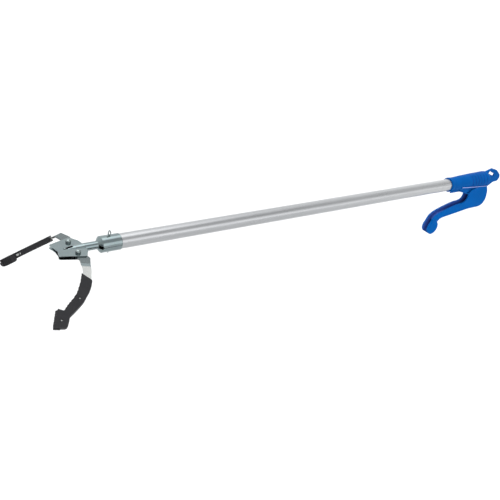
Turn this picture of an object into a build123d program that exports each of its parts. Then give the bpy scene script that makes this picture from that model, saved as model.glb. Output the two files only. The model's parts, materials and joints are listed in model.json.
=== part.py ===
"""Reacher grabber: aluminium pole, trigger handle and a pair of sickle jaws.

Frame: X runs along the pole, +X towards the handle, +Z up.  The origin is on the pole's axis,
half way along its bare length.  The jaws open in Y and their fingers hang below the pole.
Every piece is drawn at rest: trigger released, jaws open.  Lengths are millimetres.
"""

import os
from math import atan2, cos, degrees, hypot, radians, sin

from build123d import *

os.makedirs("parts", exist_ok=True)

# ---------------------------------------------------------------- driving dimensions
POLE_R = 10.0  # aluminium tube, outside
POLE_WALL = 1.2
POLE_FRONT = -341.0
POLE_REAR = 371.0

PLATE_IN = 1.4  # head plates: inner and outer faces above the centre plane
PLATE_OUT = 2.5
SHEET = 0.9
NECK_R = 5.4
COLLAR_R = 10.9
NOSE_X = -391.0  # where the raised channel starts
NECK_X = -366.0  # where the channel has become the round neck
SHOULDER_X = -348.0
COLLAR_X = -343.6
COLLAR_END = -316.5
SEAM = 0.5  # half the gap between the two head shells

PIVOT_X = -380.5  # jaw pivots
PIVOT_Y = 13.9
RIVET_R = 2.5
SLEEVE_R = 3.5
JAW_T = 2.4
JAW_SWING = 55.7  # open to closed, degrees
TAIL_R = 9.5  # pivot to the middle of the tail's lobe
LOBE_R = 2.2
JAW_REST = 26.0  # angle of the fold line from the X axis
JAW_BEND = 40.0  # the finger is folded down by this much
FOLD_X = -382.2
FOLD_Y = 38.85

STROKE = 2 * TAIL_R * sin(radians(JAW_SWING / 2))  # travel of the pull rod
LOBE_X = PIVOT_X - STROKE / 2  # the tail lobes at rest

COTTER_X = -331.4
COTTER_R = 1.1
GUIDE_PIN_X = -391.7
GUIDE_PIN_R = 1.5
ROD_R = 2.5

TRIGGER_X = 400.0  # trigger pivot
TRIGGER_Z = -27.5
TRIGGER_SWING = 2 * degrees(atan2(STROKE / 2, -TRIGGER_Z))
DRIVE_X = TRIGGER_X - STROKE / 2  # drive pin at rest
DRIVE_R = 2.0
DRIVE_ARM = (hypot(STROKE / 2, TRIGGER_Z) - TRIGGER_Z) / 2  # mean distance from the trigger pivot
DRIVE_PLAY = 0.3  # the pin runs straight and the trigger's hole on an arc
CHEEK_IN = 4.4  # trigger side walls, distance from the centre plane
CHEEK_OUT = 6.8
TONGUE = 4.0
WEB = 6.5
CAVITY = 7.4

RUNNING = 0.05  # radial clearance of a turning or sliding fit
EASE = 0.35  # clearance where pieces pass without touching


# ---------------------------------------------------------------- helpers
def block(x0, x1, y0, y1, z0, z1):
    """A plain box between two corners."""
    size = Box(x1 - x0, y1 - y0, z1 - z0, mode=Mode.PRIVATE)
    return Pos((x0 + x1) / 2, (y0 + y1) / 2, (z0 + z1) / 2) * size


def rod_z(x, y, radius, z0, z1):
    """A cylinder standing along Z."""
    body = Cylinder(radius, z1 - z0, mode=Mode.PRIVATE)
    return Pos(x, y, (z0 + z1) / 2) * body


def rod_y(x, z, radius, half):
    """A cylinder lying along Y, centred on the centre plane."""
    body = Cylinder(radius, 2 * half, mode=Mode.PRIVATE)
    return Pos(x, 0, z) * Rot(90, 0, 0) * body


def rod_x(x0, x1, radius, z=0.0):
    """A cylinder lying along X."""
    body = Cylinder(radius, x1 - x0, mode=Mode.PRIVATE)
    return Pos((x0 + x1) / 2, 0, z) * Rot(0, 90, 0) * body


def turned(profile):
    """Turn a closed list of (x, radius) points about the X axis."""
    with BuildPart(mode=Mode.PRIVATE) as body:
        with BuildSketch(Plane.XZ):
            with BuildLine():
                Polyline(*[(x, r) for x, r in profile], close=True)
            make_face()
        revolve(axis=Axis.X)
    return body.part


def side_plate(points, half):
    """Extrude an outline drawn in the XZ plane to both sides of the centre plane."""
    with BuildPart(mode=Mode.PRIVATE) as body:
        with BuildSketch(Plane.XZ):
            with BuildLine():
                Polyline(*points, close=True)
            make_face()
        extrude(amount=half, both=True)
    return body.part


def flat_plate(points, z0, z1):
    """Extrude an outline drawn in the XY plane."""
    with BuildPart(mode=Mode.PRIVATE) as body:
        with BuildSketch(Plane.XY.offset(z0)):
            with BuildLine():
                Polyline(*points, close=True)
            make_face()
        extrude(amount=z1 - z0)
    return body.part


def mirrored_outline(points):
    """Close an outline given for +Y only by adding its mirror image."""
    return points + [(x, -y) for x, y in reversed(points)]


# ---------------------------------------------------------------- pole
with BuildPart() as pole:
    add(rod_x(POLE_FRONT, POLE_REAR, POLE_R))
    add(rod_x(POLE_FRONT - 1, POLE_REAR + 1, POLE_R - POLE_WALL), mode=Mode.SUBTRACT)
    add(rod_z(COTTER_X, 0, COTTER_R + RUNNING, -12, 12), mode=Mode.SUBTRACT)

# ---------------------------------------------------------------- head shells
TIP = (-405.4, 15.3)
BACK = (-374.5, 25.0)
HEEL = (-367.0, 14.5)
ROOT = (-365.0, 4.5)
BITE_DEPTH = 2.6
BITE_HALF = 13.2


def head_shell_up():
    """One stamped half: flat plate, raised channel, half neck and half collar."""
    bite_r = (BITE_HALF**2 + BITE_DEPTH**2) / (2 * BITE_DEPTH)
    with BuildPart(mode=Mode.PRIVATE) as plate:
        with BuildSketch(Plane.XY.offset(PLATE_IN)):
            with BuildLine():
                Polyline(*mirrored_outline([TIP, BACK, HEEL, ROOT]), close=True)
            make_face()
            with Locations((TIP[0] + BITE_DEPTH - bite_r, 0)):
                Circle(bite_r, mode=Mode.SUBTRACT)
        extrude(amount=PLATE_OUT - PLATE_IN)
        corners = plate.edges().filter_by(Axis.Z)
        fillet(corners.filter_by(lambda e: abs(e.center().Y) > 12.0), radius=1.6)

    outer = turned(
        [
            (NOSE_X, 0),
            (NOSE_X, PLATE_OUT),
            (NOSE_X + 3.5, PLATE_OUT + 1.1),
            (NOSE_X + 13, NECK_R - 0.7),
            (NECK_X, NECK_R),
            (SHOULDER_X, NECK_R),
            (COLLAR_X - 0.9, COLLAR_R - 0.8),
            (COLLAR_X, COLLAR_R),
            (COLLAR_END - 0.8, COLLAR_R),
            (COLLAR_END, COLLAR_R - 0.6),
            (COLLAR_END, 0),
        ]
    )
    bore = turned(
        [
            (NOSE_X, 0),
            (NOSE_X, PLATE_OUT - SHEET),
            (NOSE_X + 3.5, PLATE_OUT + 1.1 - SHEET),
            (NOSE_X + 13, NECK_R - 0.7 - SHEET),
            (NECK_X, NECK_R - SHEET),
            (SHOULDER_X + 0.6, NECK_R - SHEET),
            (COLLAR_X + 1.0, POLE_R),
            (COLLAR_END + 1, POLE_R),
            (COLLAR_END + 1, 0),
        ]
    )
    shell = outer - block(NOSE_X - 1, NECK_X + 1.5, -9, 9, -12, PLATE_IN)
    shell = shell - block(NECK_X - 40, COLLAR_END + 1, -12, 12, -12, SEAM)
    shell = shell + plate.part - bore
    # open notch beside the seam where the shoulder is drawn out
    for side in (-1, 1):
        low, high = sorted((side * 4.6, side * 12.0))
        shell = shell - block(SHOULDER_X - 0.6, COLLAR_X + 0.2, low, high, -2.4, 2.4)
    # guide slot, rivet holes, cotter hole
    slot_front = GUIDE_PIN_X - GUIDE_PIN_R - EASE
    slot_rear = GUIDE_PIN_X + STROKE + GUIDE_PIN_R + EASE
    half = GUIDE_PIN_R + EASE
    shell = shell - block(slot_front + half, slot_rear - half, -half, half, 0, 8)
    for x in (slot_front + half, slot_rear - half):
        shell = shell - rod_z(x, 0, half, 0, 8)
    for side in (-1, 1):
        shell = shell - rod_z(PIVOT_X, side * PIVOT_Y, RIVET_R, 0, 8)
    return shell - rod_z(COTTER_X, 0, COTTER_R + RUNNING, 0, 14)


SHELL = head_shell_up()

with BuildPart() as upper_head_shell:
    add(SHELL)

with BuildPart() as lower_head_shell:
    add(mirror(SHELL, about=Plane.XY, mode=Mode.PRIVATE))

# ---------------------------------------------------------------- jaw pivots
HEAD_R = 3.5  # domed rivet head on top
HEAD_H = 4.3
FOOT_R = 3.6  # flat head underneath
FOOT_H = 1.4


def rivet(x, y):
    """Shank through both plates, tall domed head above, low head below."""
    body = rod_z(x, y, RIVET_R, -PLATE_OUT - FOOT_H, PLATE_OUT + 1)
    with BuildPart(mode=Mode.PRIVATE) as head:
        with BuildSketch(Plane.XZ):
            with BuildLine():
                Line((0, 0), (HEAD_R, 0))
                Line((HEAD_R, 0), (HEAD_R, 1.6))
                Spline((HEAD_R, 1.6), (HEAD_R * 0.78, 3.3), (0, HEAD_H), tangents=((0, 1), (-1, 0)))
                Line((0, HEAD_H), (0, 0))
            make_face()
        revolve(axis=Axis.Z)
    body = body + Pos(x, y, PLATE_OUT) * head.part
    return body + rod_z(x, y, FOOT_R, -PLATE_OUT - FOOT_H, -PLATE_OUT)


with BuildPart() as pivot_rivets:
    for side in (-1, 1):
        add(rivet(PIVOT_X, side * PIVOT_Y))

with BuildPart() as pivot_sleeves:
    for side in (-1, 1):
        add(rod_z(PIVOT_X, side * PIVOT_Y, SLEEVE_R, -PLATE_IN, PLATE_IN))
    for side in (-1, 1):
        add(rod_z(PIVOT_X, side * PIVOT_Y, RIVET_R, -2, 2), mode=Mode.SUBTRACT)

# ---------------------------------------------------------------- cotter pin through the collar
with BuildPart() as cotter_pin:
    add(rod_z(COTTER_X, 0, COTTER_R, -13.4, 12.0))
    add(block(COTTER_X - 0.2, COTTER_X + 0.2, -2, 2, -14, 9.0), mode=Mode.SUBTRACT)
    with BuildLine() as eye:
        Spline(
            (COTTER_X - 0.3, 0, 11.6),
            (COTTER_X - 1.7, 0, 14.2),
            (COTTER_X - 0.3, 0, 17.8),
            (COTTER_X + 1.6, 0, 14.2),
            (COTTER_X + 0.3, 0, 11.6),
        )
    with BuildSketch(Plane(origin=eye.line @ 0, z_dir=eye.line % 0)):
        Circle(0.7)
    sweep(path=eye.line)

# ---------------------------------------------------------------- jaws
EYE_R = 6.4  # round boss of the jaw about its pivot
RUBBER = 3.7  # half the thickness of the rubber sleeve
TOOTH = 2.6
TOOTH_PITCH = 3.36
BLOCK_WIDTH = 8.2  # gripping block under the tip pad, measured back from the teeth

# Outlines of one finger in its own plane: first number along the fold line, second number
# away from the fold.  Minus is the side that faces the thing being picked up.
STEEL_INNER = [
    (-5.9, 0.0), (-4.2, 4.3), (-3.2, 8.2), (-3.1, 12.0), (-3.6, 20.0), (-4.6, 26.0), (-6.7, 35.0),
    (-9.6, 41.0), (-13.0, 46.2), (-17.6, 52.6), (-22.5, 58.8), (-27.5, 66.0), (-30.0, 74.0),
]
STEEL_OUTER = [
    (5.6, 0.0), (6.7, 4.4), (7.3, 8.3), (7.5, 17.6), (6.0, 27.6), (3.8, 34.2), (1.0, 40.2),
    (-2.3, 47.2), (-7.2, 53.8), (-12.6, 60.4), (-18.0, 67.0), (-20.5, 74.0),
]
STEEL_TIP = [(-30.0, 79.0), (-21.5, 79.0)]
RUBBER_INNER = [
    (-4.5, 12.6), (-5.3, 20.3), (-6.4, 26.3), (-8.6, 35.6), (-11.4, 41.6), (-14.8, 46.9),
    (-19.3, 53.2), (-22.9, 60.0),
]
RUBBER_OUTER = [
    (7.8, 20.4), (8.4, 21.8), (7.8, 28.2), (5.8, 34.9), (3.0, 40.9), (-0.3, 48.2), (-5.2, 54.9),
    (-10.7, 61.6), (-15.4, 67.0),
]
PAD_BACK = [(-15.8, 71.6), (-17.0, 77.4), (-18.2, 80.0), (-20.4, 81.2)]
PAD_FRONT = [(-32.8, 81.6), (-34.0, 80.4), (-34.1, 77.8)]
FACE_END = (-34.0, 76.4)
FACE_START = (-32.6, 59.6)
PAD_HEEL = (-29.8, 58.2)
RECESSES = [(-5.0, 43.6), (-24.6, 71.6)]
RECESS_R = 1.3
# Outline of the gripping block: down the finger, and below the finger's middle plane.
BLOCK_SIDE = [
    (58.6, 0.0), (58.6, -3.6), (59.8, -5.5), (62.6, -6.6), (73.0, -6.7), (77.6, -6.3), (80.6, -5.1),
    (82.4, -2.9), (82.8, 0.0),
]
# Small holes in the gripping edge, through to the steel.
PEEPHOLES = [(-11.6, 42.0), (-16.0, 48.6), (-21.4, 56.2)]
PEEPHOLE_R = 0.55
PEEPHOLE_LIFT = 1.6


def serrate(points, pitch, depth):
    """Cut shallow saw teeth into a run of outline points."""
    out = [points[0]]
    for (ax, ay), (bx, by) in zip(points, points[1:]):
        run = hypot(bx - ax, by - ay)
        count = max(1, round(run / pitch))
        nx = -(by - ay) / run * depth
        ny = (bx - ax) / run * depth
        for step in range(count):
            mid = (step + 0.5) / count
            end = (step + 1.0) / count
            out.append((ax + (bx - ax) * mid - nx, ay + (by - ay) * mid - ny))
            out.append((ax + (bx - ax) * end, ay + (by - ay) * end))
    return out


def grip_teeth():
    """The toothed gripping face of the tip pad, one triangle per tooth."""
    run = hypot(FACE_END[0] - FACE_START[0], FACE_END[1] - FACE_START[1])
    count = round(run / TOOTH_PITCH)
    points = [(FACE_START[0] + TOOTH, FACE_START[1])]
    for step in range(count):
        for share, lift in ((0.5, TOOTH), (0.62, TOOTH), (1.0, 0.0)):
            t = (step + share) / count
            x = FACE_START[0] + (FACE_END[0] - FACE_START[0]) * t
            y = FACE_START[1] + (FACE_END[1] - FACE_START[1]) * t
            points.append((x + TOOTH - lift, y))
    return points


def finger_plane(lift=0.0):
    """Plane of the near finger: its x runs along the fold line, its y down the finger."""
    rest = radians(JAW_REST)
    bend = radians(JAW_BEND)
    along = Vector(cos(rest), -sin(rest), 0)
    away = Vector(-sin(rest) * cos(bend), -cos(rest) * cos(bend), -sin(bend))
    normal = along.cross(away)
    if normal.Z > 0:
        raise ValueError("the finger plane has turned over")
    origin = Vector(FOLD_X, -FOLD_Y, 0) - normal * lift
    return Plane(origin=origin, x_dir=along, z_dir=normal)


def finger_slab(points, low, high):
    """Extrude a finger outline from `low` to `high` above the finger's middle plane."""
    with BuildPart(mode=Mode.PRIVATE) as body:
        with BuildSketch(finger_plane(high)):
            with BuildLine():
                Polyline(*points, close=True)
            make_face()
        extrude(amount=high - low)
    return body.part


def near_jaw_steel():
    """Tail lobe, pivot eye, arm, fold and curved finger, cut and bent from one strip."""
    half = JAW_T / 2
    tail = radians(JAW_SWING / 2)
    lobe = (PIVOT_X - TAIL_R * sin(tail), -PIVOT_Y + TAIL_R * cos(tail))
    rest = radians(JAW_REST)
    fold_in = (FOLD_X - 5.9 * cos(rest), -FOLD_Y + 5.9 * sin(rest))
    fold_out = (FOLD_X + 5.6 * cos(rest), -FOLD_Y - 5.6 * sin(rest))
    arm = flat_plate(
        [
            (PIVOT_X - EYE_R, -PIVOT_Y + 1.0),
            (PIVOT_X - 5.2, -PIVOT_Y - 8.0),
            (PIVOT_X - 3.9, -PIVOT_Y - 12.0),
            fold_in,
            fold_out,
            (PIVOT_X + 9.2, -PIVOT_Y - 15.0),
            (PIVOT_X + 8.6, -PIVOT_Y - 8.0),
            (PIVOT_X + EYE_R, -PIVOT_Y + 1.0),
        ],
        -half,
        half,
    )
    side = Vector(cos(tail), sin(tail), 0) * 1.5
    neck = flat_plate(
        [
            (PIVOT_X - side.X, -PIVOT_Y - side.Y),
            (PIVOT_X + side.X, -PIVOT_Y + side.Y),
            (lobe[0] + side.X, lobe[1] + side.Y),
            (lobe[0] - side.X, lobe[1] - side.Y),
        ],
        -half,
        half,
    )
    bend = Cylinder(half, 11.5, mode=Mode.PRIVATE)
    mid = ((fold_in[0] + fold_out[0]) / 2, (fold_in[1] + fold_out[1]) / 2, 0)
    bend = Pos(*mid) * Rot(0, 0, -JAW_REST) * Rot(0, 90, 0) * bend
    finger = finger_slab(STEEL_INNER + STEEL_TIP + list(reversed(STEEL_OUTER)), -half, half)
    body = arm + rod_z(PIVOT_X, -PIVOT_Y, EYE_R, -half, half) + neck
    body = body + rod_z(lobe[0], lobe[1], LOBE_R, -half, half) + bend + finger
    return body - rod_z(PIVOT_X, -PIVOT_Y, SLEEVE_R + RUNNING, -2, 2)


def gripping_block(face):
    """The rounded block that hangs under the toothed edge of the tip pad."""
    rear = FACE_END[0] + BLOCK_WIDTH
    front = [(FACE_END[0], 77.8), (FACE_END[0], 83.0)]
    slab = finger_slab([(rear, 57.2), PAD_HEEL] + face + front + [(rear, 83.0)], -9.0, 0)
    flat = finger_plane()
    side = Plane(origin=flat.origin, x_dir=flat.y_dir, z_dir=-flat.x_dir)
    with BuildPart(mode=Mode.PRIVATE) as profile:
        with BuildSketch(side.offset(-FACE_END[0] - BLOCK_WIDTH - 1)):
            with BuildLine():
                Polyline(*BLOCK_SIDE, close=True)
            make_face()
        extrude(amount=BLOCK_WIDTH + 3)
    return slab & profile.part


def near_jaw_sleeve(steel):
    """Moulded rubber over the finger, with a toothed pad at the tip."""
    inner = serrate(RUBBER_INNER, 5.0, 0.8)
    face = grip_teeth()
    outline = inner + [PAD_HEEL] + face + list(reversed(PAD_FRONT)) + list(reversed(PAD_BACK))
    outline = outline + list(reversed(RUBBER_OUTER))
    body = finger_slab(outline, -RUBBER, RUBBER) + gripping_block(face)
    for x, y in RECESSES:
        hole = Cylinder(RECESS_R, RUBBER, align=(Align.CENTER, Align.CENTER, Align.MIN), mode=Mode.PRIVATE)
        body = body - finger_plane(RUBBER + 0.01).location * Pos(x, y, 0) * hole
    for x, y in PEEPHOLES:
        hole = Rot(0, 0, 36) * Rot(0, 90, 0) * Cylinder(PEEPHOLE_R, 3.4, mode=Mode.PRIVATE)
        body = body - finger_plane(PEEPHOLE_LIFT).location * Pos(x, y, 0) * hole
    return body - steel


NEAR_STEEL = near_jaw_steel()
NEAR_SLEEVE = near_jaw_sleeve(NEAR_STEEL)

with BuildPart() as near_jaw:
    add(NEAR_STEEL)

with BuildPart() as near_jaw_rubber:
    add(NEAR_SLEEVE)

with BuildPart() as far_jaw:
    add(mirror(NEAR_STEEL, about=Plane.XZ, mode=Mode.PRIVATE))

with BuildPart() as far_jaw_rubber:
    add(mirror(NEAR_SLEEVE, about=Plane.XZ, mode=Mode.PRIVATE))

# ---------------------------------------------------------------- crosshead and pull rod
LINK_REAR = -314.0
LINK_HALF = 3.9
HEAD_HALF = 5.0
NOTCH_DEEP = PIVOT_Y - TAIL_R - LOBE_R - EASE  # bottom of the notch the tail lobe sits in

with BuildPart() as crosshead_link:
    wide = mirrored_outline(
        [
            (GUIDE_PIN_X - 3.4, 2.6),
            (LOBE_X - 5.0, HEAD_HALF),
            (LOBE_X + 5.0, HEAD_HALF),
            (LOBE_X + 8.0, LINK_HALF),
            (LINK_REAR - 8.0, LINK_HALF),
            (LINK_REAR - 6.0, 2.0),
            (LINK_REAR, 2.0),
        ]
    )
    add(flat_plate(wide, -1.2, 1.2))
    notch = LOBE_R + EASE
    for side in (-1, 1):
        low, high = sorted((side * NOTCH_DEEP, side * 9.0))
        add(block(LOBE_X - notch, LOBE_X + notch, low, high, -2, 2), mode=Mode.SUBTRACT)
    add(rod_z(GUIDE_PIN_X, 0, GUIDE_PIN_R, -2, 2), mode=Mode.SUBTRACT)
    slip = COTTER_R + EASE
    add(block(COTTER_X - STROKE, COTTER_X, -slip, slip, -2, 2), mode=Mode.SUBTRACT)
    for x in (COTTER_X - STROKE, COTTER_X):
        add(rod_z(x, 0, slip, -2, 2), mode=Mode.SUBTRACT)
    add(rod_z(LINK_REAR - 3.0, 0, 0.8, -2, 2), mode=Mode.SUBTRACT)

with BuildPart() as guide_pin:
    add(rod_z(GUIDE_PIN_X, 0, GUIDE_PIN_R, -3.3, 3.3))
    fillet(guide_pin.edges().group_by(Axis.Z)[-1], radius=0.5)

with BuildPart() as pull_rod:
    add(rod_x(LINK_REAR - 6.0, DRIVE_X - 8.0, ROD_R))
    add(block(LINK_REAR - 7.0, LINK_REAR, -3, 3, -1.2, 1.2), mode=Mode.SUBTRACT)
    add(rod_z(LINK_REAR - 3.0, 0, 0.8, -3, 3), mode=Mode.SUBTRACT)

with BuildPart() as link_pin:
    add(rod_z(LINK_REAR - 3.0, 0, 0.8, -2.6, 2.6))

# ---------------------------------------------------------------- guides and return spring
COLLAR_FACE = 321.0  # rod collar that the spring pushes on
PLUG_FACE = 361.0  # end plug that the spring rests on
SPRING_R = 5.4
WIRE_R = 0.6


def guide(x0, x1):
    """Nylon disc inside the pole that carries the pull rod."""
    disc = rod_x(x0, x1, POLE_R - POLE_WALL)
    return disc - rod_x(x0 - 1, x1 + 1, ROD_R + RUNNING)


with BuildPart() as front_guide:
    add(guide(-300.0, -292.0))

with BuildPart() as rear_guide:
    add(guide(PLUG_FACE, POLE_REAR))

with BuildPart() as spring_collar:
    add(rod_x(COLLAR_FACE - 4.0, COLLAR_FACE, 7.2))
    add(rod_x(COLLAR_FACE - 5.0, COLLAR_FACE + 1.0, ROD_R), mode=Mode.SUBTRACT)

with BuildPart() as return_spring:
    with BuildLine() as coil:
        Helix(
            pitch=3.8,
            height=PLUG_FACE - COLLAR_FACE - 2 * WIRE_R - 0.2,
            radius=SPRING_R,
            center=(COLLAR_FACE + WIRE_R + 0.1, 0, 0),
            direction=(1, 0, 0),
        )
    with BuildSketch(Plane(origin=coil.line @ 0, z_dir=coil.line % 0)):
        Circle(WIRE_R)
    sweep(path=coil.line, is_frenet=True)

with BuildPart() as rod_eye:
    add(block(DRIVE_X - 12.0, DRIVE_X + 5.0, -3.6, 3.6, -4.6, 4.6))
    ends = rod_eye.edges().filter_by(Axis.Y).group_by(Axis.X)[-1]
    fillet(ends, radius=4.0)
    add(rod_x(DRIVE_X - 13.0, DRIVE_X - 8.0, ROD_R), mode=Mode.SUBTRACT)
    add(rod_y(DRIVE_X, 0, DRIVE_R, 5), mode=Mode.SUBTRACT)

with BuildPart() as drive_pin:
    add(rod_y(DRIVE_X, 0, DRIVE_R, CHEEK_OUT))

# ---------------------------------------------------------------- grip
RING_FRONT = 316.0
WEB_X = 345.5
NOTCH_X = 339.5  # see-through gap between the ring and the web
GRIP_END = 416.4
KEYHOLE = (423.8, 10.6)  # round part of the hanging hole
KEYHOLE_R = 3.9
KEYHOLE_FOOT = (435.6, 5.4)  # end of its narrow part
KEYHOLE_SLIT = 4.6
LUG = 1.6
GRIP_PROFILE = [
    (RING_FRONT, 11.5), (RING_FRONT + 0.7, 12.2), (320.4, 12.2), (321.6, 11.6), (334.0, 11.9),
    (350.0, 12.8), (372.0, 13.4), (409.0, 14.0), (412.6, 13.6), (415.2, 12.2), (GRIP_END, 10.0),
]
CAVITY_END = 411.8
LUG_LOBES = [(407.0, 1.5, 11.0), (427.4, 8.5, 9.3), (437.0, 5.6, 9.2), (447.2, -0.8, 7.6)]
LUG_HEEL = [(408.0, -9.0), (428.0, -15.6), (433.4, -12.7), (438.2, -9.6), (444.0, -8.0), (436.0, 2.0)]


def lug_plate():
    """Flat hanging lug: a rounded outline drawn round four circles, with a sloping heel."""
    with BuildPart(mode=Mode.PRIVATE) as body:
        with BuildSketch(Plane.XZ):
            for x, z, radius in LUG_LOBES:
                with Locations((x, z)):
                    Circle(radius)
            make_hull()
            with BuildLine():
                Polyline(*LUG_HEEL, close=True)
            make_face()
        extrude(amount=LUG, both=True)
    return body.part


RIBS = 6
RIB_START = 368.0
RIB_PITCH = 7.4
WEB_OUTLINE = [
    (WEB_X, -6.0), (WEB_X, -13.8), (357.0, -17.6), (372.5, -22.6), (384.0, -24.0), (384.0, -6.0),
]

with BuildPart() as grip:
    add(lug_plate())
    add(turned([(RING_FRONT, 0)] + GRIP_PROFILE + [(GRIP_END, 0)]))
    # web under the front half, cut back on an arc round the trigger
    web = side_plate(WEB_OUTLINE, WEB) - rod_y(TRIGGER_X, TRIGGER_Z, 27.7, WEB + 1)
    add(web & block(WEB_X - 1, 386, -9, 9, -30, -6.5))
    # long lip under each side
    strip = side_plate([(340.0, -2.6), (416.0, -8.2), (416.0, -10.4), (340.0, -4.8)], 20)
    lip_profile = [(x, r + 1.3) for x, r in GRIP_PROFILE]
    add(strip & turned([(RING_FRONT, 0)] + lip_profile + [(GRIP_END, 0)]))
    # pole socket and hollow for the rod end and the trigger arms
    add(rod_x(RING_FRONT - 1, POLE_REAR, POLE_R), mode=Mode.SUBTRACT)
    add(block(POLE_REAR - 3, CAVITY_END, -CAVITY, CAVITY, -20, 7.2), mode=Mode.SUBTRACT)
    add(rod_y(TRIGGER_X, TRIGGER_Z, 25.6, CAVITY), mode=Mode.SUBTRACT)
    # tongue that carries the trigger's pivot
    tongue_points = [
        (366.0, -10.5), (386.0, -10.5), (397.0, -20.2), (405.0, -22.0), (405.0, -33.0),
        (397.0, -34.4), (372.0, -22.6), (360.0, -17.0),
    ]
    add(side_plate(tongue_points, TONGUE))
    add(rod_y(TRIGGER_X, TRIGGER_Z, 7.2, TONGUE))
    add(rod_y(TRIGGER_X, TRIGGER_Z, RIVET_R, 10), mode=Mode.SUBTRACT)
    # see-through notch between the ring and the web, bridged low down on each side
    add(block(NOTCH_X, WEB_X, -16, 16, -20, -8.6), mode=Mode.SUBTRACT)
    for side in (-1, 1):
        inner, outer = sorted((side * 5.0, side * WEB))
        add(block(RING_FRONT + 5, WEB_X + 1, inner, outer, -13.5, -12.0))
        add(block(RING_FRONT + 5, NOTCH_X, inner, outer, -13.5, -10.5))
    # palm ribs: grooves round both sides
    for index in range(RIBS):
        x = RIB_START + RIB_PITCH * index
        radius = 13.35 + 0.6 * (x - RIB_START) / 40.0
        ring = rod_x(x - 1.1, x + 1.1, radius + 2) - rod_x(x - 2, x + 2, radius - 0.5)
        add(ring & block(x - 3, x + 3, -20, 20, -2.5, 12.4), mode=Mode.SUBTRACT)
    # hanging keyhole
    add(rod_y(KEYHOLE[0], KEYHOLE[1], KEYHOLE_R, 16), mode=Mode.SUBTRACT)
    run = hypot(KEYHOLE_FOOT[0] - KEYHOLE[0], KEYHOLE_FOOT[1] - KEYHOLE[1])
    tilt = degrees(atan2(KEYHOLE[1] - KEYHOLE_FOOT[1], KEYHOLE_FOOT[0] - KEYHOLE[0]))
    slit = Box(run, 32, KEYHOLE_SLIT, mode=Mode.PRIVATE)
    centre = ((KEYHOLE[0] + KEYHOLE_FOOT[0]) / 2, (KEYHOLE[1] + KEYHOLE_FOOT[1]) / 2)
    add(Pos(centre[0], 0, centre[1]) * Rot(0, tilt, 0) * slit, mode=Mode.SUBTRACT)
    add(rod_y(KEYHOLE_FOOT[0], KEYHOLE_FOOT[1], KEYHOLE_SLIT / 2, 16), mode=Mode.SUBTRACT)

# ---------------------------------------------------------------- trigger
KNOB = (300.3, -76.7)
KNOB_R = 12.4
WALL = 2.2
ARM_FLOOR = 7.5  # the channel is shallower along the arm
RISE_X = 368.0
LOWER_EDGE = [
    (418.4, -12.3), (423.6, -21.0), (425.8, -30.0), (425.4, -40.0), (420.6, -47.4), (413.2, -50.6),
    (400.5, -51.6), (386.0, -51.8), (373.7, -53.0), (364.3, -54.2), (350.8, -55.9), (335.0, -57.8),
    (322.8, -59.2), (315.1, -60.8), (310.0, -64.0), (308.0, -67.6),
]
UPPER_EDGE = [
    (288.4, -75.0), (290.4, -70.4), (293.0, -64.0), (297.0, -57.6), (306.1, -51.6), (318.2, -47.4),
    (329.4, -44.3), (341.9, -41.2), (356.2, -38.8), (366.0, -37.8), (371.6, -34.8), (374.4, -29.0),
    (374.6, -23.0), (376.2, -17.8), (380.4, -14.6), (386.0, -13.2), (390.0, -12.4),
]


KNOB_HOLLOW = [(304.6, -72.6), (301.6, -79.8), (295.6, -85.4), (283.0, -86.0), (280.0, -74.0)]


def trigger_face():
    """Side outline of the trigger as a solid plate."""
    with BuildSketch(Plane.XZ, mode=Mode.PRIVATE) as face:
        with BuildLine():
            Spline(*LOWER_EDGE)
            Line(LOWER_EDGE[-1], UPPER_EDGE[0])
            Spline(*UPPER_EDGE)
            Line(UPPER_EDGE[-1], LOWER_EDGE[0])
        make_face()
        with Locations(KNOB):
            Circle(KNOB_R)
    return face.sketch


def shifted(points, amount):
    """Move a run of points sideways, to the right of its direction of travel."""
    out = []
    for index, (x, y) in enumerate(points):
        ax, ay = points[max(index - 1, 0)]
        bx, by = points[min(index + 1, len(points) - 1)]
        run = hypot(bx - ax, by - ay)
        out.append((x + (by - ay) / run * amount, y - (bx - ax) / run * amount))
    return out


with BuildPart() as trigger:
    add(extrude(trigger_face(), amount=CHEEK_OUT, both=True, mode=Mode.PRIVATE))
    # two arms that reach up to the drive pin
    lean = degrees(atan2(STROKE / 2, -TRIGGER_Z))
    arm = Box(10.4, 2 * CHEEK_OUT, DRIVE_ARM, mode=Mode.PRIVATE)
    arm = Pos(TRIGGER_X, 0, TRIGGER_Z) * Rot(0, -lean, 0) * Pos(0, 0, DRIVE_ARM / 2) * arm
    add(arm)
    hole_x = TRIGGER_X - DRIVE_ARM * sin(radians(lean))
    hole_z = TRIGGER_Z + DRIVE_ARM * cos(radians(lean))
    add(rod_y(hole_x, hole_z, 5.2, CHEEK_OUT))
    # hollow, open towards the pole
    rear = [point for point in LOWER_EDGE if point[0] > RISE_X]
    arm_floor = [point for point in LOWER_EDGE if point[0] < RISE_X]
    floor = shifted(rear, WALL) + shifted(arm_floor, ARM_FLOOR)
    mouth = shifted(UPPER_EDGE, -5.0)
    add(side_plate(floor + KNOB_HOLLOW + mouth, CHEEK_IN), mode=Mode.SUBTRACT)
    add(block(372.0, 414.0, -CHEEK_IN, CHEEK_IN, -30.0, 8.0), mode=Mode.SUBTRACT)
    # sockets for the pivot pin and holes for the drive pin
    add(rod_y(TRIGGER_X, TRIGGER_Z, RIVET_R + RUNNING, CHEEK_OUT - 0.7), mode=Mode.SUBTRACT)
    add(rod_y(hole_x, hole_z, DRIVE_R + DRIVE_PLAY, 9), mode=Mode.SUBTRACT)

with BuildPart() as trigger_pin:
    add(rod_y(TRIGGER_X, TRIGGER_Z, RIVET_R, CHEEK_OUT - 0.8))

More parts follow.
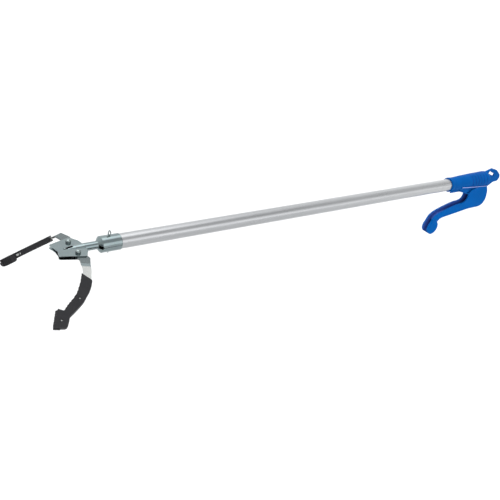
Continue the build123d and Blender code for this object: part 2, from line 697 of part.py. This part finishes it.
# ---------------------------------------------------------------- names and files
PIECES = {
    "pole": pole,
    "upper_head_shell": upper_head_shell,
    "lower_head_shell": lower_head_shell,
    "pivot_rivets": pivot_rivets,
    "pivot_sleeves": pivot_sleeves,
    "cotter_pin": cotter_pin,
    "near_jaw": near_jaw,
    "near_jaw_rubber": near_jaw_rubber,
    "far_jaw": far_jaw,
    "far_jaw_rubber": far_jaw_rubber,
    "crosshead_link": crosshead_link,
    "guide_pin": guide_pin,
    "pull_rod": pull_rod,
    "link_pin": link_pin,
    "front_guide": front_guide,
    "rear_guide": rear_guide,
    "spring_collar": spring_collar,
    "return_spring": return_spring,
    "rod_eye": rod_eye,
    "drive_pin": drive_pin,
    "grip": grip,
    "trigger": trigger,
    "trigger_pin": trigger_pin,
}

for name, piece in PIECES.items():
    piece.part.label = name
    export_step(piece.part, f"parts/{name}.step")
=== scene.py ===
"""Looks of the reacher grabber: materials, softened edges, small moulded details, light and camera.

Everything is in metres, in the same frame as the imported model: X along the pole, +X towards the
handle, +Z up.
"""

import json

from math import cos, pi, radians

import bpy
from mathutils import Euler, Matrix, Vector


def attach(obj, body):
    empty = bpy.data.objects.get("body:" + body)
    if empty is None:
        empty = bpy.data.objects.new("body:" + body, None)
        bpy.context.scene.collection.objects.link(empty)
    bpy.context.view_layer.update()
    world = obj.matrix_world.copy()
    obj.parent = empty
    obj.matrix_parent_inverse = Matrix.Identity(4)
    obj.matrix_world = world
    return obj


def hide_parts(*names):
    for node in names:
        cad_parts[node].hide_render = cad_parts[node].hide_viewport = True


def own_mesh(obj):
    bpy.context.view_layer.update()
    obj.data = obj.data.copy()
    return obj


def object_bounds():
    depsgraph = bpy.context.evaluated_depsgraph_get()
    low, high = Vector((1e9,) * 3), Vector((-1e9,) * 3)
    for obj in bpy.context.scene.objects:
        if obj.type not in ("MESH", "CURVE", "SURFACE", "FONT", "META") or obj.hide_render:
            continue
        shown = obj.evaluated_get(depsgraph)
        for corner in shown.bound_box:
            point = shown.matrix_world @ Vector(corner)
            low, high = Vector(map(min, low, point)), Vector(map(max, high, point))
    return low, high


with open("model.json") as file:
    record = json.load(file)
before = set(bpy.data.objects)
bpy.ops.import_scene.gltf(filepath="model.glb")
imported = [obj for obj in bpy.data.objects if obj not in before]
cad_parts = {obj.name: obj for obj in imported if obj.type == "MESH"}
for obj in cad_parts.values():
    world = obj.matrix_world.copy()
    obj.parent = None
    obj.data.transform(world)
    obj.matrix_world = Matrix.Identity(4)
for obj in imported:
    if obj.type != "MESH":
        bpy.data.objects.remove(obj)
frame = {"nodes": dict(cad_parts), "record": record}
CAD_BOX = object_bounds()
NODES = frame["nodes"]
MM = 0.001
SPAN_SOCKETS = ("From Min", "From Max", "To Min", "To Max")

# ---------------------------------------------------------------- material helpers


class Recipe:
    """A node material being put together: a Principled shader plus the nodes that feed it."""

    def __init__(self, name):
        self.material = bpy.data.materials.new(name)
        self.material.use_nodes = True
        self.nodes = self.material.node_tree.nodes
        self.links = self.material.node_tree.links
        self.shader = self.nodes["Principled BSDF"]
        self.place = self.nodes.new("ShaderNodeTexCoord").outputs["Object"]

    def constants(self, **values):
        """Set plain numbers on the shader; an underscore stands for a space."""
        for name, value in values.items():
            self.shader.inputs[name.replace("_", " ")].default_value = value

    def stretched(self, scale, turn=(0, 0, 0)):
        """Object coordinates scaled per axis, so a pattern can be drawn out into lines."""
        mapping = self.nodes.new("ShaderNodeMapping")
        mapping.inputs["Scale"].default_value = scale
        mapping.inputs["Rotation"].default_value = [radians(a) for a in turn]
        self.links.new(self.place, mapping.inputs["Vector"])
        return mapping.outputs["Vector"]

    def noise(self, scale, detail=4.0, rough=0.5, place=None):
        """A noise pattern as a grey value."""
        node = self.nodes.new("ShaderNodeTexNoise")
        node.inputs["Scale"].default_value = scale
        node.inputs["Detail"].default_value = detail
        node.inputs["Roughness"].default_value = rough
        self.links.new(place or self.place, node.inputs["Vector"])
        return node.outputs["Fac"]

    def cells(self, scale):
        """A pattern of cells, each with one random colour."""
        node = self.nodes.new("ShaderNodeTexVoronoi")
        node.inputs["Scale"].default_value = scale
        self.links.new(self.place, node.inputs["Vector"])
        return node.outputs["Color"]

    def remap(self, value, low, high, new_low, new_high):
        """Map a grey value from one span to another, held at the ends."""
        node = self.nodes.new("ShaderNodeMapRange")
        for socket, number in zip(SPAN_SOCKETS, (low, high, new_low, new_high)):
            node.inputs[socket].default_value = number
        self.links.new(value, node.inputs["Value"])
        return node.outputs["Result"]

    def ramp(self, value, stops):
        """Turn a grey value into a colour through (position, colour) stops."""
        node = self.nodes.new("ShaderNodeValToRGB")
        marks = node.color_ramp.elements
        while len(marks) < len(stops):
            marks.new(0.5)
        for mark, (position, colour) in zip(marks, stops):
            mark.position = position
            mark.color = (*colour, 1.0)
        self.links.new(value, node.inputs["Fac"])
        return node.outputs["Color"]

    def blended(self, base, layer, share, mode="MIX"):
        """Lay one colour over another."""
        node = self.nodes.new("ShaderNodeMix")
        node.data_type = "RGBA"
        node.blend_type = mode
        for value, socket in ((share, node.inputs[0]), (base, node.inputs[6]), (layer, node.inputs[7])):
            if isinstance(value, bpy.types.NodeSocket):
                self.links.new(value, socket)
            elif isinstance(value, tuple):
                socket.default_value = (*value, 1.0)
            else:
                socket.default_value = value
        return node.outputs[2]

    def part_of(self, vector, axis):
        """One coordinate of a vector."""
        parts = self.nodes.new("ShaderNodeSeparateXYZ")
        self.links.new(vector, parts.inputs["Vector"])
        return parts.outputs[axis]

    def combine(self, operation, *values):
        """A sum, product or other plain function of values and numbers."""
        node = self.nodes.new("ShaderNodeMath")
        node.operation = operation
        for value, socket in zip(values, node.inputs):
            if isinstance(value, bpy.types.NodeSocket):
                self.links.new(value, socket)
            else:
                socket.default_value = value
        return node.outputs["Value"]

    def edges(self, reach_mm, share):
        """Mask of the worn edges: where a widely rounded normal leaves the true one."""
        rounded = self.nodes.new("ShaderNodeBevel")
        rounded.samples = 4
        rounded.inputs["Radius"].default_value = reach_mm * MM
        true = self.nodes.new("ShaderNodeNewGeometry").outputs["Normal"]
        product = self.nodes.new("ShaderNodeVectorMath")
        product.operation = "DOT_PRODUCT"
        self.links.new(rounded.outputs["Normal"], product.inputs[0])
        self.links.new(true, product.inputs[1])
        return self.remap(product.outputs["Value"], 0.85, 0.99, share, 0.0)

    def feed(self, socket, value):
        """Link a pattern to a socket of the shader."""
        self.links.new(value, self.shader.inputs[socket])

    def bump(self, *layers):
        """Stack bumps given as (height, strength, distance in metres)."""
        normal = None
        for height, strength, distance in layers:
            node = self.nodes.new("ShaderNodeBump")
            node.inputs["Strength"].default_value = strength
            node.inputs["Distance"].default_value = distance
            self.links.new(height, node.inputs["Height"])
            if normal is not None:
                self.links.new(normal, node.inputs["Normal"])
            normal = node.outputs["Normal"]
        self.links.new(normal, self.shader.inputs["Normal"])


PAINTED_BRIGHTENING_LENGTH = (-0.05, 0.31)  # along X, where the tube's painted brightening starts and where it is brightest
JAW_FOLD_HEIGHTS = (-0.0016, -0.0004)  # the jaw's finger starts under these, its flat arm is over them; the arm's painted shade fades in between them
RIB_START = 0.368  # the grip's palm ribs, as in the CAD
RIB_PITCH = 0.0074
RIBS = 6
RIB_FOOT = (-0.006, -0.002)  # heights over which the grooves' painted shade fades in
CHANNEL_HALF = 0.0046  # half the width of the trigger's open channel
RICHER = 1.18  # how much brighter the light parts of the plastic's mottling are
UPWARD = -0.15  # least upward part of the normal of a face inside the channel


def anodised_aluminium():
    """Drawn tube: fine lines along X, faint dull patches, and a painted reflection that makes it brighter
    towards the handle.
    """
    recipe = Recipe("anodised_aluminium")
    recipe.constants(Metallic=1.0)
    lines = recipe.noise(1.0, 6.0, 0.6, recipe.stretched((9, 2600, 2600)))
    streaks = recipe.noise(1.0, 3.0, 0.5, recipe.stretched((5, 420, 420)))
    patches = recipe.noise(16.0, 3.0)
    colour = recipe.ramp(streaks, [(0.3, (0.385, 0.39, 0.40)), (0.7, (0.425, 0.43, 0.44))])
    # painted reflection: the base colour is lit up towards the handle, where the tube catches more light
    painted_brightness = recipe.remap(recipe.part_of(recipe.place, "X"), *PAINTED_BRIGHTENING_LENGTH, 0.0, 1.0)
    colour = recipe.blended(colour, (0.50, 0.507, 0.515), painted_brightness)
    faint = recipe.ramp(lines, [(0.35, (0.9, 0.9, 0.9)), (0.65, (1, 1, 1))])
    colour = recipe.blended(colour, faint, 0.4, "MULTIPLY")
    recipe.feed("Base Color", colour)
    rough = recipe.remap(recipe.blended(lines, patches, 0.5), 0.35, 0.65, 0.24, 0.34)
    recipe.feed("Roughness", rough)
    recipe.bump((lines, 0.05, 0.00003))
    return recipe.material


def zinc_plate():
    """Pressed sheet with bright zinc: faint cells of the plating, fine grain, bright edges."""
    recipe = Recipe("zinc_plate")
    recipe.constants(Metallic=1.0)
    cells = recipe.cells(520.0)
    cloud = recipe.noise(60.0, 4.0)
    grain = recipe.noise(2600.0, 3.0)
    colour = recipe.ramp(cloud, [(0.3, (0.19, 0.233, 0.242)), (0.7, (0.22, 0.266, 0.273))])
    colour = recipe.blended(colour, cells, 0.025, "OVERLAY")
    colour = recipe.blended(colour, (0.40, 0.44, 0.44), recipe.edges(0.5, 0.6))
    recipe.feed("Base Color", colour)
    recipe.feed("Roughness", recipe.remap(cloud, 0.3, 0.7, 0.10, 0.17))
    recipe.bump((cloud, 0.05, 0.0002), (grain, 0.06, 0.00002))
    return recipe.material


def jaw_strip():
    """Plated strip steel, brushed along its length; the flat arm is painted darker than the finger as
    painted shade, the same steel in both.
    """
    recipe = Recipe("jaw_strip")
    recipe.constants(Metallic=1.0)
    brushed = recipe.noise(1.0, 5.0, 0.6, recipe.stretched((1800, 160, 160), (0, 0, 20)))
    cloud = recipe.noise(120.0, 4.0)
    finger = recipe.ramp(cloud, [(0.3, (0.285, 0.29, 0.285)), (0.7, (0.315, 0.32, 0.31))])
    # painted shade: a darker copy of the same steel for the flat arm under the head plates
    arm_painted_shade = recipe.ramp(cloud, [(0.3, (0.125, 0.148, 0.152)), (0.7, (0.140, 0.165, 0.170))])
    arm_shade_share = recipe.remap(recipe.part_of(recipe.place, "Z"), *JAW_FOLD_HEIGHTS, 0.0, 1.0)
    colour = recipe.blended(finger, arm_painted_shade, arm_shade_share)
    colour = recipe.blended(colour, (0.42, 0.43, 0.42), recipe.edges(0.4, 0.5))
    recipe.feed("Base Color", colour)
    recipe.feed("Roughness", recipe.remap(brushed, 0.3, 0.7, 0.20, 0.32))
    recipe.bump((brushed, 0.08, 0.00003))
    return recipe.material


def bright_steel(name, tint):
    """Turned or drawn steel with a hard shine and tiny dents."""
    recipe = Recipe(name)
    recipe.constants(Metallic=1.0)
    dents = recipe.noise(500.0, 4.0)
    dark = tuple(0.8 * channel for channel in tint)
    recipe.feed("Base Color", recipe.ramp(dents, [(0.35, dark), (0.6, tint)]))
    recipe.feed("Roughness", recipe.remap(dents, 0.3, 0.7, 0.12, 0.24))
    recipe.bump((dents, 0.1, 0.00008))
    return recipe.material


def rib_groove_shade(recipe):
    """Mask of the grooves between the palm ribs, where the plastic is painted darker as painted shade."""
    along = recipe.part_of(recipe.place, "X")
    phase = recipe.combine("DIVIDE", recipe.combine("SUBTRACT", along, RIB_START), RIB_PITCH)
    wave = recipe.combine("ABSOLUTE", recipe.combine("SINE", recipe.combine("MULTIPLY", phase, pi)))
    from_middle = recipe.combine("ABSOLUTE", recipe.combine("SUBTRACT", phase, (RIBS - 1) / 2))
    ribbed = recipe.combine("LESS_THAN", from_middle, RIBS / 2)
    above = recipe.remap(recipe.part_of(recipe.place, "Z"), *RIB_FOOT, 0.0, 1.0)
    groove_shade = recipe.remap(wave, 0.25, 0.65, 0.75, 0.0)
    return recipe.combine("MULTIPLY", recipe.combine("MULTIPLY", groove_shade, ribbed), above)


def channel_wall_light(recipe):
    """Mask of the inner faces of the trigger's channel, painted lighter as painted light that stands in
    for light coming through the thin walls.
    """
    across = recipe.combine("ABSOLUTE", recipe.part_of(recipe.place, "Y"))
    inside = recipe.combine("LESS_THAN", across, CHANNEL_HALF)
    normal = recipe.nodes.new("ShaderNodeVectorTransform")
    normal.vector_type = "NORMAL"
    normal.convert_from = "WORLD"
    normal.convert_to = "OBJECT"
    geometry = recipe.nodes.new("ShaderNodeNewGeometry")
    recipe.links.new(geometry.outputs["True Normal"], normal.inputs["Vector"])
    upward = recipe.combine("GREATER_THAN", recipe.part_of(normal.outputs["Vector"], "Z"), UPWARD)
    return recipe.combine("MULTIPLY", inside, upward)


def moulded_blue(name, plain, painted_shading_mask, painted_shading_colour):
    """Injection-moulded plastic: soft mottling, faint flow lines, worn edges, and a painted tone inside:
    painted shade in the grip's grooves, painted light in the trigger's channel.
    """
    recipe = Recipe(name)
    rich = tuple(RICHER * channel for channel in plain)
    recipe.constants(Specular_IOR_Level=0.015, Specular_Tint=(0.1, 0.5, 1.0, 1.0))
    mottle = recipe.noise(45.0, 4.0)
    flow = recipe.noise(1.0, 3.0, 0.5, recipe.stretched((25, 160, 160)))
    pores = recipe.noise(1900.0, 3.0)
    colour = recipe.ramp(mottle, [(0.3, plain), (0.7, rich)])
    # painted shade in the grip's grooves and painted light in the trigger's channel, blended into the
    # colour
    colour = recipe.blended(colour, painted_shading_colour, painted_shading_mask(recipe))
    colour = recipe.blended(colour, (0.002, 0.13, 0.42), recipe.edges(0.7, 0.6))
    recipe.feed("Base Color", colour)
    recipe.feed("Roughness", recipe.remap(flow, 0.3, 0.7, 0.36, 0.48))
    recipe.bump((flow, 0.06, 0.0004), (pores, 0.10, 0.00004))
    return recipe.material


def jaw_rubber():
    """Matt black rubber with a dusty bloom and a fine moulded grain."""
    recipe = Recipe("jaw_rubber")
    recipe.constants(Specular_IOR_Level=0.25)
    dust = recipe.noise(70.0, 6.0, 0.6)
    grain = recipe.noise(1500.0, 4.0)
    colour = recipe.ramp(dust, [(0.35, (0.008, 0.008, 0.010)), (0.75, (0.020, 0.019, 0.021))])
    colour = recipe.blended(colour, (0.038, 0.037, 0.039), recipe.edges(0.5, 0.6))
    recipe.feed("Base Color", colour)
    recipe.feed("Roughness", recipe.remap(dust, 0.3, 0.7, 0.48, 0.68))
    recipe.bump((dust, 0.1, 0.0003), (grain, 0.35, 0.00008))
    return recipe.material


def painted_highlight_blue():
    """The same plastic painted pale along the grip's lips, a painted highlight of the light on their
    rounded edges.
    """
    recipe = Recipe("painted_highlight_blue")
    recipe.constants(Roughness=0.5, Specular_IOR_Level=0.2)
    painted_brightness = recipe.noise(1.0, 4.0, 0.6, recipe.stretched((60, 900, 900)))
    recipe.feed("Base Color", recipe.ramp(painted_brightness, [(0.3, (0.20, 0.26, 0.62)), (0.7, (0.42, 0.46, 0.78))]))
    recipe.bump((painted_brightness, 0.15, 0.00005))
    return recipe.material


def plain_nylon():
    """Natural nylon of the guides inside the pole."""
    recipe = Recipe("plain_nylon")
    recipe.constants(Subsurface_Weight=0.1)
    cloud = recipe.noise(150.0, 4.0)
    recipe.feed("Base Color", recipe.ramp(cloud, [(0.3, (0.70, 0.68, 0.62)), (0.7, (0.80, 0.78, 0.72))]))
    recipe.feed("Roughness", recipe.remap(cloud, 0.3, 0.7, 0.4, 0.55))
    recipe.bump((cloud, 0.1, 0.0002))
    return recipe.material


SLOT_MATERIALS = {
    "pole_aluminium": anodised_aluminium(),
    "zinc_steel": zinc_plate(),
    "jaw_steel": jaw_strip(),
    "pin_steel": bright_steel("bright_pin", (0.24, 0.28, 0.28)),
    "rod_steel": bright_steel("drawn_rod", (0.36, 0.38, 0.39)),
    "spring_steel": bright_steel("spring_wire", (0.24, 0.25, 0.27)),
    # the grip's darker groove colour is painted shade
    "grip_plastic": moulded_blue("grip_blue", (0.002, 0.074, 0.285), rib_groove_shade, (0.012, 0.042, 0.24)),
    "jaw_rubber": jaw_rubber(),
    "nylon": plain_nylon(),
}
# the trigger's lighter channel colour is painted light
TRIGGER_BLUE = moulded_blue("trigger_blue", (0.0, 0.085, 0.33), channel_wall_light, (0.05, 0.11, 0.40))


def dress_nodes():
    """Give every CAD node the material of its slot."""
    for subpart in frame["record"]["subparts"]:
        data = NODES[subpart["node"]].data
        data.materials.clear()
        data.materials.append(SLOT_MATERIALS[subpart["material_slot"]])
    NODES["trigger"].data.materials[0] = TRIGGER_BLUE


# ---------------------------------------------------------------- softened edges
SHARP_ANGLE = 34.0  # degrees; edges that turn by more are rounded
EDGE_WIDTHS = {  # mm
    "upper_head_shell": 0.22,
    "lower_head_shell": 0.22,
    "near_jaw": 0.3,
    "far_jaw": 0.3,
    "near_jaw_rubber": 0.25,
    "far_jaw_rubber": 0.25,
    "grip": 0.6,
    "trigger": 0.9,
    "rod_eye": 0.3,
}


def soften(node, width_mm):
    """Round a node's sharp edges with modifiers; its mesh stays as it is."""
    obj = NODES[node]
    weld = obj.modifiers.new("weld", "WELD")
    weld.merge_threshold = 1e-6
    bevel = obj.modifiers.new("edge", "BEVEL")
    bevel.width = width_mm * MM
    bevel.segments = 3
    bevel.limit_method = "ANGLE"
    bevel.angle_limit = radians(SHARP_ANGLE)
    bevel.use_clamp_overlap = True
    smooth = obj.modifiers.new("painted_shading_mask", "WEIGHTED_NORMAL")
    smooth.keep_sharp = False
    smooth.weight = 80


dress_nodes()
for node_name, edge_width in EDGE_WIDTHS.items():
    soften(node_name, edge_width)

# ---------------------------------------------------------------- small moulded details
SMALL_PARTS = bpy.data.collections.new("small_details")
bpy.context.scene.collection.children.link(SMALL_PARTS)


def bead(name, points, radius_mm, body, material):
    """A thin rounded bead along a smooth path in mm that rides on a CAD body."""
    curve = bpy.data.curves.new(name, "CURVE")
    curve.dimensions = "3D"
    curve.bevel_depth = radius_mm * MM
    curve.bevel_resolution = 3
    curve.resolution_u = 4
    curve.use_fill_caps = True
    line = curve.splines.new("NURBS")
    line.points.add(len(points) - 1)
    line.order_u = 3
    line.use_endpoint_u = True
    for knot, (x, y, z) in zip(line.points, points):
        knot.co = (x * MM, y * MM, z * MM, 1.0)
    obj = bpy.data.objects.new(name, curve)
    SMALL_PARTS.objects.link(obj)
    curve.materials.append(material)
    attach(obj, body)


LIP_X = (341.0, 415.0)  # mm along the grip, where its long side lips start and end
LIP_Z = (-2.9, -8.5)  # mm, height of their upper edge there
LIP_STEPS = 12
LIP_BEAD = 0.5  # mm, radius of the bead along them
RAY_START = 0.04  # the rays start this far out to the side
RAY_DROP = 0.0004  # and meet the lip this far under its edge


def lip_beads():
    """A rolled bead on the upper edge of each long lip of the grip, found on its surface by rays, coloured
    pale as a painted highlight.
    """
    # painted highlight: the pale blue stands in for light caught on the lips' edges
    highlight_paint = painted_highlight_blue()
    for side, word in ((-1, "near"), (1, "far")):
        points = []
        for step in range(LIP_STEPS + 1):
            x, z = (low + (high - low) * step / LIP_STEPS for low, high in (LIP_X, LIP_Z))
            origin = (x * MM, side * RAY_START, z * MM - RAY_DROP)
            hit, place, _, _ = NODES["grip"].ray_cast(origin, (0, -side, 0))
            if hit:
                points.append((x, place.y / MM, z))
        bead(f"grip_lip_bead_{word}", points, LIP_BEAD, "frame", highlight_paint)


def spring_coil():
    """The return spring as a copy of its mesh that rides on the pull rod, in place of the hidden CAD
    spring.
    """
    coil = bpy.data.objects.new("spring_coil", NODES["return_spring"].data.copy())
    SMALL_PARTS.objects.link(coil)
    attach(coil, "pull_rod")
    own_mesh(coil)
    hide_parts("return_spring")


lip_beads()
spring_coil()

# ---------------------------------------------------------------- camera, light and floor
CAMERA_PLACE = Vector((-0.8148, -0.8306, 0.5190))
CAMERA_TURN = (62.09, -9.36, -35.94)  # degrees about X, Y and Z
CAMERA_LENS = 61.2  # mm on a 36 mm sensor
FLOOR_DROP = 0.10  # floor below the tool's lowest point
FLOOR_HALF = 14.0
WALL_FRONT = 0.78  # brightness of the studio in front of the tool
WALL_BACK = 1.25  # and behind it
OVERHEAD = 1.9  # extra brightness of the round light overhead
OVERHEAD_WAY = (-0.05, 0.15, 0.98)
OVERHEAD_ANGLES = (28.0, 39.0)  # degrees from its middle: full inside the first, gone at the second
FRONT_BAND = 1.2  # extra brightness of the low band in front


def place_camera():
    """The scene's camera, above and in front of the jaws, looking along the pole."""
    data = bpy.data.cameras.new("camera")
    data.lens = CAMERA_LENS
    data.sensor_width = 36.0
    data.clip_end = 100.0
    camera = bpy.data.objects.new("camera", data)
    camera.location = CAMERA_PLACE
    camera.rotation_euler = Euler([radians(a) for a in CAMERA_TURN], "XYZ")
    bpy.context.scene.collection.objects.link(camera)
    bpy.context.scene.camera = camera


def pale_floor():
    """A large plain sheet of pale card under the tool."""
    low = CAD_BOX[0][2] - FLOOR_DROP
    mesh = bpy.data.meshes.new("floor")
    corners = [(x * FLOOR_HALF, y * FLOOR_HALF, low) for x, y in ((-1, -1), (1, -1), (1, 1), (-1, 1))]
    mesh.from_pydata(corners, [], [(0, 1, 2, 3)])
    floor = bpy.data.objects.new("floor", mesh)
    recipe = Recipe("pale_card")
    cloud = recipe.noise(3.0, 3.0)
    recipe.feed("Base Color", recipe.ramp(cloud, [(0.3, (0.70, 0.70, 0.70)), (0.7, (0.72, 0.72, 0.72))]))
    recipe.constants(Roughness=0.9, Specular_IOR_Level=0.1)
    mesh.materials.append(recipe.material)
    bpy.context.scene.collection.objects.link(floor)


class Surroundings:
    """The studio round the tool as a world material: a sum of soft bright regions."""

    def __init__(self, name):
        self.world = bpy.data.worlds.new(name)
        self.world.use_nodes = True
        self.nodes = self.world.node_tree.nodes
        self.links = self.world.node_tree.links
        self.way = self.nodes.new("ShaderNodeTexCoord").outputs["Generated"]
        parts = self.nodes.new("ShaderNodeSeparateXYZ")
        self.links.new(self.way, parts.inputs["Vector"])
        self.parts = parts.outputs
        self.total = None

    def steps(self, value, low, high, new_low, new_high):
        """Smooth step of a value from one level to another."""
        node = self.nodes.new("ShaderNodeMapRange")
        node.interpolation_type = "SMOOTHSTEP"
        for socket, number in zip(SPAN_SOCKETS, (low, high, new_low, new_high)):
            node.inputs[socket].default_value = number
        self.links.new(value, node.inputs["Value"])
        return node.outputs["Result"]

    def combine(self, first, second, operation):
        """A sum or product of two values."""
        node = self.nodes.new("ShaderNodeMath")
        node.operation = operation
        self.links.new(first, node.inputs[0])
        self.links.new(second, node.inputs[1])
        return node.outputs["Value"]

    def include(self, region):
        """Add a region's light to the total."""
        self.total = region if self.total is None else self.combine(self.total, region, "ADD")

    def round_light(self, direction, inner, outer, level):
        """A round soft light of a given level, full inside one angle and gone at the other."""
        node = self.nodes.new("ShaderNodeVectorMath")
        node.operation = "DOT_PRODUCT"
        self.links.new(self.way, node.inputs[0])
        node.inputs[1].default_value = Vector(direction).normalized()
        self.include(self.steps(node.outputs["Value"], cos(radians(outer)), cos(radians(inner)), 0, level))

    def finish(self, colour):
        """Tint the total and make it the scene's world."""
        background = self.nodes["Background"]
        background.inputs["Color"].default_value = (*colour, 1.0)
        self.links.new(self.total, background.inputs["Strength"])
        bpy.context.scene.world = self.world


def studio_world():
    """Pale walls, a large soft light overhead and a long low one in front."""
    studio = Surroundings("studio")
    studio.include(studio.steps(studio.parts["Y"], -0.2, 0.6, WALL_FRONT, WALL_BACK))
    studio.round_light(OVERHEAD_WAY, *OVERHEAD_ANGLES, OVERHEAD)
    low_band = studio.steps(studio.parts["Z"], 0.38, 0.62, FRONT_BAND, 0.0)
    front = studio.steps(studio.parts["Y"], -0.80, -0.55, 1.0, 0.0)
    studio.include(studio.combine(low_band, front, "MULTIPLY"))
    studio.finish((0.985, 0.995, 1.0))


place_camera()
pale_floor()
studio_world()
bpy.context.scene.view_settings.view_transform = "Standard"
